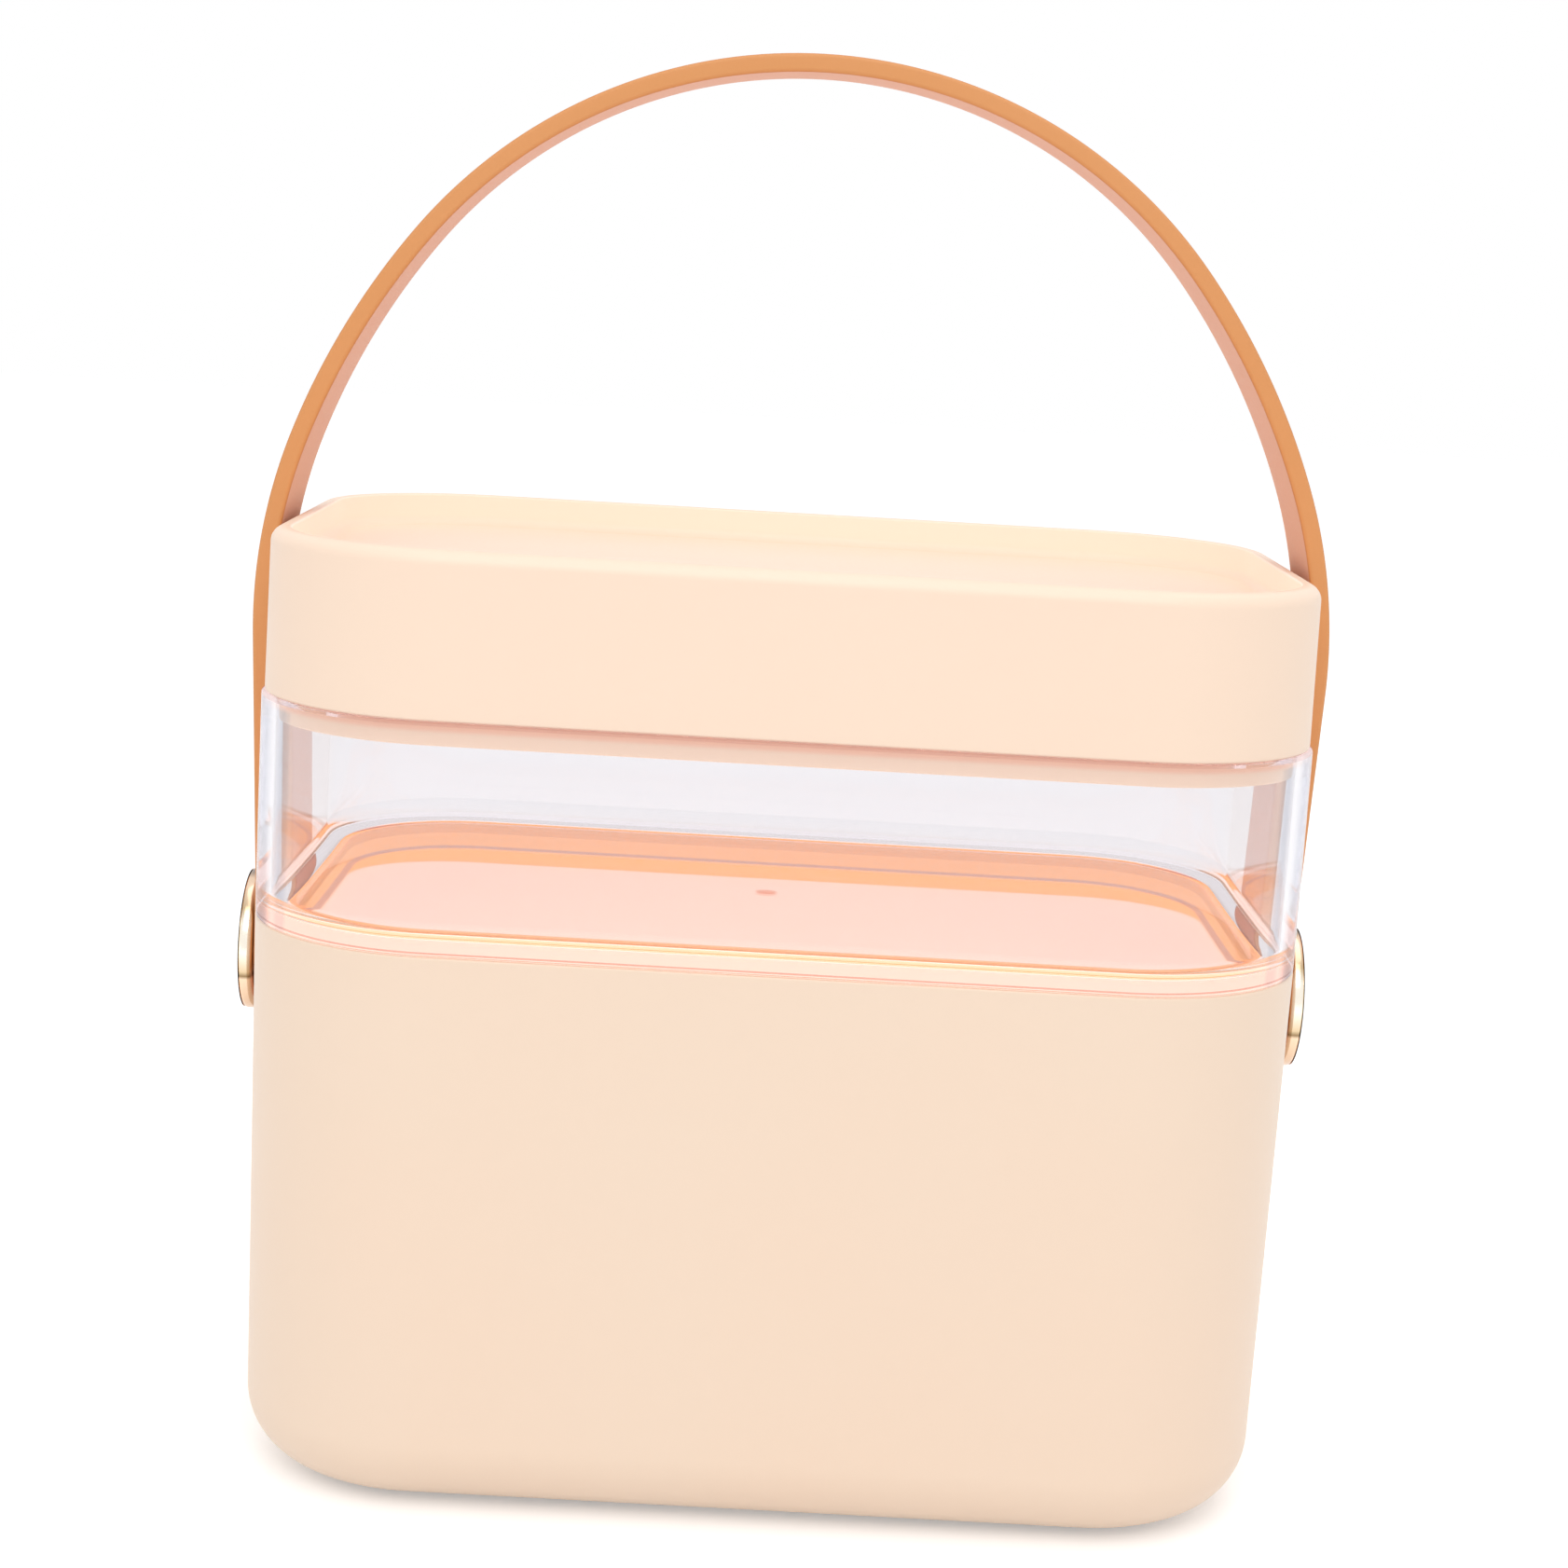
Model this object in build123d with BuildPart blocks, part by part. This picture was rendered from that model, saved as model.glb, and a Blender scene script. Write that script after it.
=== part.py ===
"""Storage box with a swinging strap handle, built as separate pieces.

An opaque bin stands at the bottom. A shallow tray drops into its mouth, a clear
tray stands on its rim, and a cap lid closes the clear tray. The strap handle
swings on two studs through the sides of the bin.

Millimetres. +Z is up, +X is to the right as seen from the front, and -Y is the
front. The origin is on the table, under the middle of the box.
"""

import math
import os

from build123d import *

os.makedirs("parts", exist_ok=True)

# The plan outline that every layer follows
body_length = 200.0
body_depth = 130.0
corner_radius = 35.8

# Bin
bin_height = 107.8
bin_draft = 0.7
bin_wall = 3.2
bin_floor = 3.0
bin_edge_radius = 13.7
mouth_wall = 2.2
rim_round = 0.5

# Foot pads, let into the underside of the bin
pad_radius = 6.0
pad_stand = 1.0
pad_recess = 0.8
pad_clearance = 0.2
pad_inset_x = 27.0
pad_inset_y = 26.0
pad_round = 0.4

# Shallow tray in the mouth of the bin
flange_thickness = 1.8
flange_drop = 0.2
flange_clearance = 0.3
inner_clearance = 0.45
inner_wall = 1.8
inner_depth = 5.4
inner_floor = 1.8
inner_floor_radius = 3.4

# Clear tray
clear_height = 43.2
clear_wall = 2.8
clear_floor = 2.2
clear_floor_radius = 4.0
clear_rim_round = 0.7
clear_foot_round = 0.4
rib_depth = 2.2
rib_width = 1.8
rib_clearance = 0.4

# Lid shell, set back a little from the clear tray
lid_height = 30.8
lid_setback = 0.6
lid_draft = 0.65
lid_wall = 2.4
lid_edge_round = 0.5
lid_rim_width = 4.2
lid_rim_radius = 2.8
lid_rim_inner_radius = 0.5
lid_rim_flat = 0.1
dish_depth = 6.6
dish_floor = 2.2
dish_corner_radius = 2.0
post_radius = 3.0
post_inset_x = 30.0
post_inset_y = 22.0
post_pin_radius = 1.5

# Lid liner, the pan inside the lid whose edge plugs the clear tray
plug_depth = 4.7
plug_clearance = 0.6
plug_wall = 1.8
plug_round = 0.5
liner_rise = 4.4
liner_plate = 1.8
liner_corner_radius = 3.0
pin_clearance = 0.1

# Studs that the handle swings on
stud_drop = 13.4
seat_cut = 0.2
seat_radius = 11.0
spacer_radius = 10.4
spacer_thickness = 0.4
boss_radius = 4.0
boss_clearance = 0.08
side_clearance = 0.1
cap_radius = 14.2
cap_edge = 2.5
cap_height = 3.7
cap_round = 0.8

# Screws that hold the studs from inside the bin
screw_radius = 2.0
screw_clearance = 0.2
thread_clearance = 0.05
thread_depth = 4.6
screw_end_gap = 0.4
head_radius = 3.8
head_height = 2.4
head_round = 0.9
recess_length = 3.6
recess_width = 0.9
recess_depth = 1.2
washer_radius = 5.5
washer_thickness = 0.8
inner_seat_cut = 0.08
inner_seat_clearance = 0.4

# Handle strap
strap_width = 24.0
strap_thickness = 3.5
strap_edge_round = 1.2
strap_foot_above_cap = 0.8
flare_radius = 30.0
arm_lean = 2.2
arm_length = 47.3
shoulder_radius = 104.5
shoulder_turn = 20.3
side_radius = 144.5
crown_arc_less = 5.9

# Heights that the layers share
bin_underside = pad_stand
seam = bin_underside + bin_height
clear_top = seam + clear_height
lid_top = clear_top + lid_height
stud_height = seam - stud_drop


def layer_outline(inset, mode=Mode.ADD):
    """The plan outline of the box, drawn in from its widest line by inset."""
    RectangleRounded(body_length - 2 * inset, body_depth - 2 * inset, corner_radius - inset, mode=mode)


def bottom_edges(piece):
    """The edges round the lowest face of a piece."""
    return piece.faces().sort_by(Axis.Z)[0].edges()


def top_edges(piece):
    """The edges round the highest face of a piece."""
    return piece.faces().sort_by(Axis.Z)[-1].edges()


def side_plane(side, distance):
    """A plane square to the studs, facing outwards, on the right (1) or the left (-1)."""
    return Plane(origin=(side * distance, 0, stud_height), x_dir=(0, 1, 0), z_dir=(side, 0, 0))


def section_plane(side):
    """The plane for half the section of a turned piece: x runs outwards, and y is the radius."""
    return Plane(origin=(0, 0, stud_height), x_dir=(side, 0, 0), z_dir=(0, -side, 0))


# Bin: a drafted box with soft bottom edges, with a step round its mouth
half_length_at_stud = body_length / 2 - stud_drop * math.tan(math.radians(bin_draft))
seat_x = half_length_at_stud - seat_cut
inner_seat_x = half_length_at_stud - bin_wall + inner_seat_cut
pad_x = body_length / 2 - pad_inset_x
pad_y = body_depth / 2 - pad_inset_y
pad_spots = [(pad_x, pad_y), (-pad_x, pad_y), (pad_x, -pad_y), (-pad_x, -pad_y)]
step_depth = flange_thickness + flange_drop

with BuildPart() as bin_cavity:
    with BuildSketch(Plane.XY.offset(seam)):
        layer_outline(bin_wall)
    extrude(amount=bin_height - bin_floor, dir=(0, 0, -1), taper=bin_draft)
    fillet(bottom_edges(bin_cavity), bin_edge_radius - bin_floor)

with BuildPart() as bin_shell:
    with BuildSketch(Plane.XY.offset(seam)):
        layer_outline(0)
    extrude(amount=bin_height, dir=(0, 0, -1), taper=bin_draft)
    fillet(bottom_edges(bin_shell), bin_edge_radius)
    fillet(top_edges(bin_shell), rim_round)
    add(bin_cavity.part, mode=Mode.SUBTRACT)
    with BuildSketch(Plane.XY.offset(seam)):
        layer_outline(mouth_wall)
    extrude(amount=-step_depth, mode=Mode.SUBTRACT)
    with BuildSketch(Plane.XY.offset(bin_underside)):
        with Locations(*pad_spots):
            Circle(pad_radius + pad_clearance)
    extrude(amount=pad_recess, mode=Mode.SUBTRACT)
    for side in (-1, 1):
        with BuildSketch(side_plane(side, seat_x)):
            Circle(seat_radius)
        extrude(amount=bin_wall, mode=Mode.SUBTRACT)
        with BuildSketch(side_plane(side, inner_seat_x)):
            Circle(washer_radius + inner_seat_clearance)
        extrude(amount=-bin_wall, mode=Mode.SUBTRACT)
        with BuildSketch(side_plane(side, seat_x)):
            Circle(screw_radius + screw_clearance)
        extrude(amount=-bin_wall, mode=Mode.SUBTRACT)
bin_shell.part.label = "bin"
export_step(bin_shell.part, "parts/bin.step")

# Foot pads: four soft discs that lift the bin off the table
for number, spot in enumerate(pad_spots, start=1):
    with BuildPart() as foot_pad:
        with BuildSketch(Plane.XY):
            with Locations(spot):
                Circle(pad_radius)
        extrude(amount=pad_stand + pad_recess)
        fillet(bottom_edges(foot_pad), pad_round)
    foot_pad.part.label = f"foot_pad_{number}"
    export_step(foot_pad.part, f"parts/foot_pad_{number}.step")

# Shallow tray: its flange lies in the step round the mouth, and its pan hangs inside the bin
pan_outer_inset = bin_wall + inner_clearance
pan_inner_inset = pan_outer_inset + inner_wall
flange_top = seam - flange_drop
pan_floor = seam - inner_depth

with BuildPart() as inner_pan:
    with BuildSketch(Plane.XY.offset(flange_top)):
        layer_outline(pan_inner_inset)
    extrude(amount=pan_floor - flange_top)
    fillet(bottom_edges(inner_pan), inner_floor_radius)

with BuildPart() as inner_tray:
    with BuildSketch(Plane.XY.offset(flange_top)):
        layer_outline(pan_outer_inset)
    extrude(amount=pan_floor - inner_floor - flange_top)
    fillet(bottom_edges(inner_tray), inner_floor_radius + inner_wall / 2)
    with BuildSketch(Plane.XY.offset(flange_top)):
        layer_outline(mouth_wall + flange_clearance)
    extrude(amount=-flange_thickness)
    add(inner_pan.part, mode=Mode.SUBTRACT)
inner_tray.part.label = "inner_tray"
export_step(inner_tray.part, "parts/inner_tray.step")

# Clear tray: straight walls, a rounded rim, and a rib under the floor that locates it
rib_outer_inset = pan_inner_inset + rib_clearance

with BuildPart() as clear_cavity:
    with BuildSketch(Plane.XY.offset(clear_top)):
        layer_outline(clear_wall)
    extrude(amount=clear_floor - clear_height)
    fillet(bottom_edges(clear_cavity), clear_floor_radius)

with BuildPart() as clear_tray:
    with BuildSketch(Plane.XY.offset(seam)):
        layer_outline(0)
    extrude(amount=clear_height)
    fillet(bottom_edges(clear_tray), clear_foot_round)
    add(clear_cavity.part, mode=Mode.SUBTRACT)
    fillet(top_edges(clear_tray), clear_rim_round)
    with BuildSketch(Plane.XY.offset(seam)):
        layer_outline(rib_outer_inset)
        layer_outline(rib_outer_inset + rib_width, mode=Mode.SUBTRACT)
    extrude(amount=-rib_depth)
clear_tray.part.label = "clear_tray"
export_step(clear_tray.part, "parts/clear_tray.step")

# Lid shell: a drafted cap with a dished top and a rounded rim, hollow from below
lid_ceiling = lid_top - dish_depth - dish_floor
liner_top = clear_top + liner_rise + liner_plate
rim_land = lid_rim_width - lid_height * math.tan(math.radians(lid_draft))
rim_outer_round = min(lid_rim_radius, rim_land - lid_rim_inner_radius - lid_rim_flat)
post_x = body_length / 2 - post_inset_x
post_y = body_depth / 2 - post_inset_y
post_spots = [(x, y) for x in (-post_x, 0, post_x) for y in (-post_y, post_y)]

with BuildPart() as lid_cavity:
    with BuildSketch(Plane.XY.offset(clear_top)):
        layer_outline(lid_setback + lid_wall)
    extrude(amount=lid_ceiling - clear_top, taper=lid_draft)
    fillet(top_edges(lid_cavity), dish_corner_radius)

with BuildPart() as lid_dish:
    with BuildSketch(Plane.XY.offset(lid_top)):
        layer_outline(lid_setback + lid_rim_width)
    extrude(amount=-dish_depth)
    fillet(bottom_edges(lid_dish), dish_corner_radius)

with BuildPart() as lid_shell:
    with BuildSketch(Plane.XY.offset(clear_top)):
        layer_outline(lid_setback)
    extrude(amount=lid_height, taper=lid_draft)
    fillet(top_edges(lid_shell), rim_outer_round)
    fillet(bottom_edges(lid_shell), lid_edge_round)
    add(lid_dish.part, mode=Mode.SUBTRACT)
    fillet(lid_shell.faces().sort_by(Axis.Z)[-1].inner_wires().edges(), lid_rim_inner_radius)
    add(lid_cavity.part, mode=Mode.SUBTRACT)
    with BuildSketch(Plane.XY.offset(liner_top)):
        with Locations(*post_spots):
            Circle(post_radius)
    extrude(amount=lid_ceiling - liner_top)
    with BuildSketch(Plane.XY.offset(liner_top)):
        with Locations(*post_spots):
            Circle(post_pin_radius)
    extrude(amount=-liner_plate)
lid_shell.part.label = "lid_shell"
export_step(lid_shell.part, "parts/lid_shell.step")

# Lid liner: an upturned pan on the posts, with its edge down inside the clear tray
plug_inset = clear_wall + plug_clearance
plug_bottom = clear_top - plug_depth

with BuildPart() as liner_hollow:
    with BuildSketch(Plane.XY.offset(plug_bottom)):
        layer_outline(plug_inset + plug_wall)
    extrude(amount=plug_depth + liner_rise)
    fillet(top_edges(liner_hollow), liner_corner_radius)

with BuildPart() as lid_liner:
    with BuildSketch(Plane.XY.offset(plug_bottom)):
        layer_outline(plug_inset)
    extrude(amount=liner_top - plug_bottom)
    fillet(top_edges(lid_liner), liner_corner_radius)
    add(liner_hollow.part, mode=Mode.SUBTRACT)
    fillet(bottom_edges(lid_liner), plug_round)
    with BuildSketch(Plane.XY.offset(liner_top)):
        with Locations(*post_spots):
            Circle(post_pin_radius + pin_clearance)
    extrude(amount=-liner_plate, mode=Mode.SUBTRACT)
lid_liner.part.label = "lid_liner"
export_step(lid_liner.part, "parts/lid_liner.step")

# Handle strap: one thickness that follows the arch, with round ends on the studs
strap_inner_x = seat_x + spacer_thickness + side_clearance
strap_outer_x = strap_inner_x + strap_thickness
strap_end = stud_height - strap_width / 2
foot_top = stud_height + cap_radius + strap_foot_above_cap
crown_radius = strap_outer_x - crown_arc_less

# Where the arcs of the arch have their centres, and the angles at which they meet
lean = math.radians(arm_lean)
first_turn = math.radians(shoulder_turn)
flare_centre_x = strap_outer_x + flare_radius
across_arm = flare_radius + shoulder_radius
shoulder_centre_x = flare_centre_x - across_arm * math.cos(lean) + arm_length * math.sin(lean)
shoulder_centre_z = foot_top + across_arm * math.sin(lean) + arm_length * math.cos(lean)
side_centre_x = shoulder_centre_x + (shoulder_radius - side_radius) * math.cos(first_turn)
side_centre_z = shoulder_centre_z + (shoulder_radius - side_radius) * math.sin(first_turn)
second_turn = math.acos(-side_centre_x / (side_radius - crown_radius))
crown_centre_z = side_centre_z + (side_radius - crown_radius) * math.sin(second_turn)
strap_rise = crown_centre_z + crown_radius - stud_height


def on_arc(centre_x, centre_z, radius, angle):
    """The point of an arc at an angle over the horizontal."""
    return (centre_x + radius * math.cos(angle), centre_z + radius * math.sin(angle))


def strap_outline(inset):
    """The closed outline of the arch, drawn in from the outer face of the strap by inset."""
    heel = (strap_outer_x - inset, strap_end)
    foot = (strap_outer_x - inset, foot_top)
    flare_end = on_arc(flare_centre_x, foot_top, flare_radius + inset, math.pi - lean)
    arm_end = on_arc(shoulder_centre_x, shoulder_centre_z, shoulder_radius - inset, -lean)
    shoulder_end = on_arc(shoulder_centre_x, shoulder_centre_z, shoulder_radius - inset, first_turn)
    side_end = on_arc(0, crown_centre_z, crown_radius - inset, second_turn)
    Line((0, strap_end), heel)
    straight = Line(heel, foot)
    flare = TangentArc(foot, flare_end, tangent=straight % 1)
    Line(flare_end, arm_end)
    shoulder = TangentArc(arm_end, shoulder_end, tangent=(math.sin(lean), math.cos(lean)))
    side = TangentArc(shoulder_end, side_end, tangent=shoulder % 1)
    TangentArc(side_end, (0, crown_centre_z + crown_radius - inset), tangent=side % 1)
    mirror(about=Plane.YZ)


with BuildPart() as handle_strap:
    with BuildSketch(Plane.XZ):
        with BuildLine():
            strap_outline(0)
        make_face()
        with BuildLine():
            strap_outline(strap_thickness)
        make_face(mode=Mode.SUBTRACT)
    extrude(amount=strap_width / 2, both=True)
    with BuildSketch(side_plane(1, 0)):
        Circle(strap_width / 2)
        Rectangle(strap_width, strap_rise, align=(Align.CENTER, Align.MIN))
    extrude(amount=body_length, both=True, mode=Mode.INTERSECT)
    long_edges = handle_strap.edges().filter_by(Axis.X, reverse=True).filter_by(Axis.Y, reverse=True)
    fillet(long_edges, strap_edge_round)
    with BuildSketch(side_plane(1, 0)):
        Circle(boss_radius + boss_clearance)
    extrude(amount=body_length, both=True, mode=Mode.SUBTRACT)
handle_strap.part.label = "handle_strap"
export_step(handle_strap.part, "parts/handle_strap.step")

# Studs, with what holds them: the same pieces turned to face each side
stud_axis = Axis((0, 0, stud_height), (1, 0, 0))
cap_x = strap_outer_x + side_clearance
washer_x = inner_seat_x - washer_thickness
head_x = washer_x - head_height
screw_end_x = seat_x + thread_depth - screw_end_gap

for side, name in ((-1, "left"), (1, "right")):
    # Stud: a domed cap outside the strap, with a boss through the strap that stands on the bin
    with BuildPart() as pivot_cap:
        with BuildSketch(section_plane(side)) as stud_section:
            with BuildLine():
                Polyline((cap_x + cap_height, 0), (seat_x, 0), (seat_x, boss_radius), (cap_x, boss_radius))
                Polyline((cap_x, boss_radius), (cap_x, cap_radius), (cap_x + cap_edge, cap_radius))
                TangentArc((cap_x + cap_height, 0), (cap_x + cap_edge, cap_radius), tangent=(0, 1))
            make_face()
            fillet(stud_section.vertices().group_by(Axis.Y)[-1], cap_round)
        revolve(axis=stud_axis)
        with BuildSketch(side_plane(side, seat_x)):
            Circle(screw_radius + thread_clearance)
        extrude(amount=thread_depth, mode=Mode.SUBTRACT)
    pivot_cap.part.label = f"pivot_cap_{name}"
    export_step(pivot_cap.part, f"parts/pivot_cap_{name}.step")

    # Spacer: keeps the strap off the side of the bin
    with BuildPart() as strap_spacer:
        with BuildSketch(side_plane(side, seat_x)):
            Circle(spacer_radius)
            Circle(boss_radius + boss_clearance, mode=Mode.SUBTRACT)
        extrude(amount=spacer_thickness)
    strap_spacer.part.label = f"strap_spacer_{name}"
    export_step(strap_spacer.part, f"parts/strap_spacer_{name}.step")

    # Washer: lies on a flat inside the bin, under the screw's head
    with BuildPart() as screw_washer:
        with BuildSketch(side_plane(side, washer_x)):
            Circle(washer_radius)
            Circle(screw_radius + screw_clearance, mode=Mode.SUBTRACT)
        extrude(amount=washer_thickness)
    screw_washer.part.label = f"screw_washer_{name}"
    export_step(screw_washer.part, f"parts/screw_washer_{name}.step")

    # Screw: a pan head with a cross recess, and a shank through the wall into the stud
    with BuildPart() as pivot_screw:
        with BuildSketch(section_plane(side)) as screw_section:
            with BuildLine():
                Polyline((screw_end_x, 0), (head_x, 0), (head_x, head_radius), (washer_x, head_radius))
                Polyline((washer_x, head_radius), (washer_x, screw_radius), (screw_end_x, screw_radius))
                Line((screw_end_x, screw_radius), (screw_end_x, 0))
            make_face()
            fillet(screw_section.vertices().group_by(Axis.Y)[-1].sort_by(Axis.X)[0], head_round)
        revolve(axis=stud_axis)
        with BuildSketch(side_plane(side, head_x)):
            Rectangle(recess_length, recess_width)
            Rectangle(recess_width, recess_length)
        extrude(amount=recess_depth, mode=Mode.SUBTRACT)
    pivot_screw.part.label = f"pivot_screw_{name}"
    export_step(pivot_screw.part, f"parts/pivot_screw_{name}.step")
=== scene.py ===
import math

import bmesh
import bpy
from mathutils import Matrix, Vector


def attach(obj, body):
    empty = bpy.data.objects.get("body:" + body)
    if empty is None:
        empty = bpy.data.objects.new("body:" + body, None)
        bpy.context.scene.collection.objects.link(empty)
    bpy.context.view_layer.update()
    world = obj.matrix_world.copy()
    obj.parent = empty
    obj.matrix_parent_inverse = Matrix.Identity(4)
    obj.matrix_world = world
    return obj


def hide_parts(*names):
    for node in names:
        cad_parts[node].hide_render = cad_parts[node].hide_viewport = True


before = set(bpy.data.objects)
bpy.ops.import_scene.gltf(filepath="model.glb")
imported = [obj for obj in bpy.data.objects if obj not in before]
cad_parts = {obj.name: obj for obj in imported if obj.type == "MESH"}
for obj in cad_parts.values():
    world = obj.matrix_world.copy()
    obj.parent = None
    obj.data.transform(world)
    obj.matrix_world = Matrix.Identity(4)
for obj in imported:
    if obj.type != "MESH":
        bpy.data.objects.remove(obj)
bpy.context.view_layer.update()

mm = 0.001

# Camera: the photograph looks slightly down on the front of the box, with the camera
# tilted to one side, from a little over half a metre away.
camera_place = Vector((-6.131, -597.608, 237.317)) * mm
camera_down = math.radians(9.883)
camera_tilt = math.radians(3.369)
camera_turn = math.radians(-0.618)
camera_lens = 69.128
camera_film = 36.0

camera_data = bpy.data.cameras.new("camera")
camera_data.lens = camera_lens
camera_data.sensor_width = camera_film
camera = bpy.data.objects.new("camera", camera_data)
bpy.context.scene.collection.objects.link(camera)
aim = Matrix.Rotation(camera_turn, 4, "Z") @ Matrix.Rotation(math.pi / 2 - camera_down, 4, "X")
camera.matrix_world = Matrix.Translation(camera_place) @ aim @ Matrix.Rotation(camera_tilt, 4, "Z")
bpy.context.scene.camera = camera
bpy.context.scene.view_settings.view_transform = "Standard"

# Studio: a pale floor, white all round where the camera, metal or clear plastic looks,
# and soft light from above and in front.
floor_size = 8.0
floor_colour = (0.9, 0.9, 0.9, 1)
floor_glow = 0.32
floor_rough = 0.9
floor_shine = 0.1
white = (1, 1, 1, 1)
room_light = 0.74
room_seen = 1.0
key_light = 11.0
key_size = 1.4
key_place = Vector((-0.1, -1.35, 1.65))
top_light = 6.0
top_size = 1.6
top_place = Vector((0.2, 0.1, 1.9))
lamp_target = Vector((0, 0, 0.12))


def feed(tree, entry, value):
    """Sets an input of a node to a value, or links it to the output of another node."""
    if isinstance(value, bpy.types.NodeSocket):
        tree.links.new(value, entry)
    else:
        entry.default_value = value


def combined(tree, operation, first, *others):
    """Takes numbers or outputs together, two at a time, by an operation such as MULTIPLY."""
    result = first
    for other in others:
        step = tree.nodes.new("ShaderNodeMath")
        step.operation = operation
        feed(tree, step.inputs[0], result)
        feed(tree, step.inputs[1], other)
        result = step.outputs[0]
    return result


def spread(tree, value, low, high, start=0.0, end=1.0):
    """Runs evenly from start, at the low value, to end, at the high one, and no further."""
    step = tree.nodes.new("ShaderNodeMapRange")
    step.inputs["From Min"].default_value = low
    step.inputs["From Max"].default_value = high
    feed(tree, step.inputs["To Min"], start)
    feed(tree, step.inputs["To Max"], end)
    tree.links.new(value, step.inputs["Value"])
    return step.outputs["Result"]


def start_finish(name):
    """Starts a material, and gives it back with its node tree and its shader."""
    finish = bpy.data.materials.new(name)
    finish.use_nodes = True
    return finish, finish.node_tree, finish.node_tree.nodes["Principled BSDF"]


def white_to_lookers(tree):
    """1 for camera, mirror and see-through rays, and 0 for light that falls on a surface."""
    rays = tree.nodes.new("ShaderNodeLightPath").outputs
    return combined(tree, "MAXIMUM", rays["Is Camera Ray"], rays["Is Glossy Ray"],
                    rays["Is Transmission Ray"])


room = bpy.data.worlds.new("room")
bpy.context.scene.world = room
room.use_nodes = True
room_tree = room.node_tree
room_shader = room_tree.nodes["Background"]
room_shader.inputs["Color"].default_value = white
feed(room_tree, room_shader.inputs["Strength"],
     spread(room_tree, white_to_lookers(room_tree), 0, 1, room_light, room_seen))

floor_finish, floor_tree, floor_shader = start_finish("floor_finish")
floor_shader.inputs["Base Color"].default_value = floor_colour
floor_shader.inputs["Roughness"].default_value = floor_rough
floor_shader.inputs["Specular IOR Level"].default_value = floor_shine
floor_shader.inputs["Emission Color"].default_value = white
feed(floor_tree, floor_shader.inputs["Emission Strength"],
     combined(floor_tree, "MULTIPLY", white_to_lookers(floor_tree), floor_glow))

bpy.ops.object.select_all(action="DESELECT")
bpy.ops.mesh.primitive_plane_add(size=floor_size)
studio_floor = bpy.context.object
studio_floor.name = "studio_floor"
studio_floor.data.materials.append(floor_finish)


def soft_lamp(name, place, size, power):
    """A square lamp that faces the middle of the box."""
    lamp_data = bpy.data.lights.new(name, "AREA")
    lamp_data.size = size
    lamp_data.energy = power
    lamp = bpy.data.objects.new(name, lamp_data)
    bpy.context.scene.collection.objects.link(lamp)
    lamp.location = place
    lamp.rotation_euler = (lamp_target - place).to_track_quat("-Z", "Y").to_euler()


soft_lamp("key_lamp", key_place, key_size, key_light)
soft_lamp("top_lamp", top_place, top_size, top_light)

# Bin: the lower half of the box, moulded in satin cream plastic with soft bottom edges
# and walls that narrow a little downwards. The shallow tray hangs in a step in its mouth.
box_length = 200.0 * mm
box_depth = 130.0 * mm
corner_radius = 35.8 * mm
seam_height = 108.8 * mm
bin_height = 107.8 * mm
bin_narrowing = 1.317 * mm
bin_wall = 3.2 * mm
bin_floor = 3.0 * mm
bin_base = seam_height - bin_height
bin_edge_radius = 13.7 * mm
bin_mouth_wall = 2.2 * mm
bin_step = 2.0 * mm
bin_rim_round = 0.5 * mm
corner_steps = 24
sharp_angle = math.radians(32)
round_profile = 0.5
facing = 0.9
quad_points = 4
outline_points = 8
level_slack = 0.01 * mm
height_slack = 0.02 * mm
outline_slack = 0.12 * mm
inner_slack = 0.1 * mm
join_gap = 0.005 * mm
least_narrowing = 0.001 * mm
cream_colour = (0.93, 0.74, 0.585, 1)
cream_tone = (0.94, 0.725, 0.565, 1)
drift_low = 0.35
drift_high = 0.65
drift_detail = 2.0
grain_low = 0.3
grain_high = 0.7
grain_detail = 3.0
plastic_relief = 0.6


def inset_of(place):
    """How far a point lies in from the widest outline of the box, seen from above."""
    along = abs(place.x) - (box_length / 2 - corner_radius)
    across = abs(place.y) - (box_depth / 2 - corner_radius)
    if along > 0 and across > 0:
        return corner_radius - math.hypot(along, across)
    return min(box_length / 2 - abs(place.x), box_depth / 2 - abs(place.y))


def choose(kind, test):
    """In edit mode, selects only the faces or edges that pass the test."""
    bpy.ops.mesh.select_mode(type="FACE" if kind == "faces" else "EDGE")
    bpy.ops.mesh.select_all(action="DESELECT")
    mesh = bpy.context.edit_object.data
    shape = bmesh.from_edit_mesh(mesh)
    for item in getattr(shape, kind):
        item.select_set(test(item))
    bmesh.update_edit_mesh(mesh)


def choose_face(height, inset=0.0, up=True):
    """Selects the large level face at a height whose outline is drawn in by inset or more."""
    sign = 1 if up else -1
    choose("faces", lambda face: len(face.verts) > outline_points and face.normal.z * sign > facing
           and abs(face.calc_center_median().z - height) < level_slack
           and inset_of(face.verts[0].co) > inset - inner_slack)


def choose_loop(height, inset):
    """Selects the edges of the outline that lies at a height, and in from the widest by inset."""
    choose("edges", lambda edge: all(abs(v.co.z - height) < height_slack
                                     and abs(inset_of(v.co) - inset) < outline_slack
                                     for v in edge.verts))


def round_loop(height, inset, radius, steps):
    """Rounds the outline that lies at a height, and in from the widest by inset."""
    choose_loop(height, inset)
    bpy.ops.mesh.bevel(offset=radius, segments=steps, profile=round_profile, affect="EDGES",
                       clamp_overlap=False)


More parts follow.
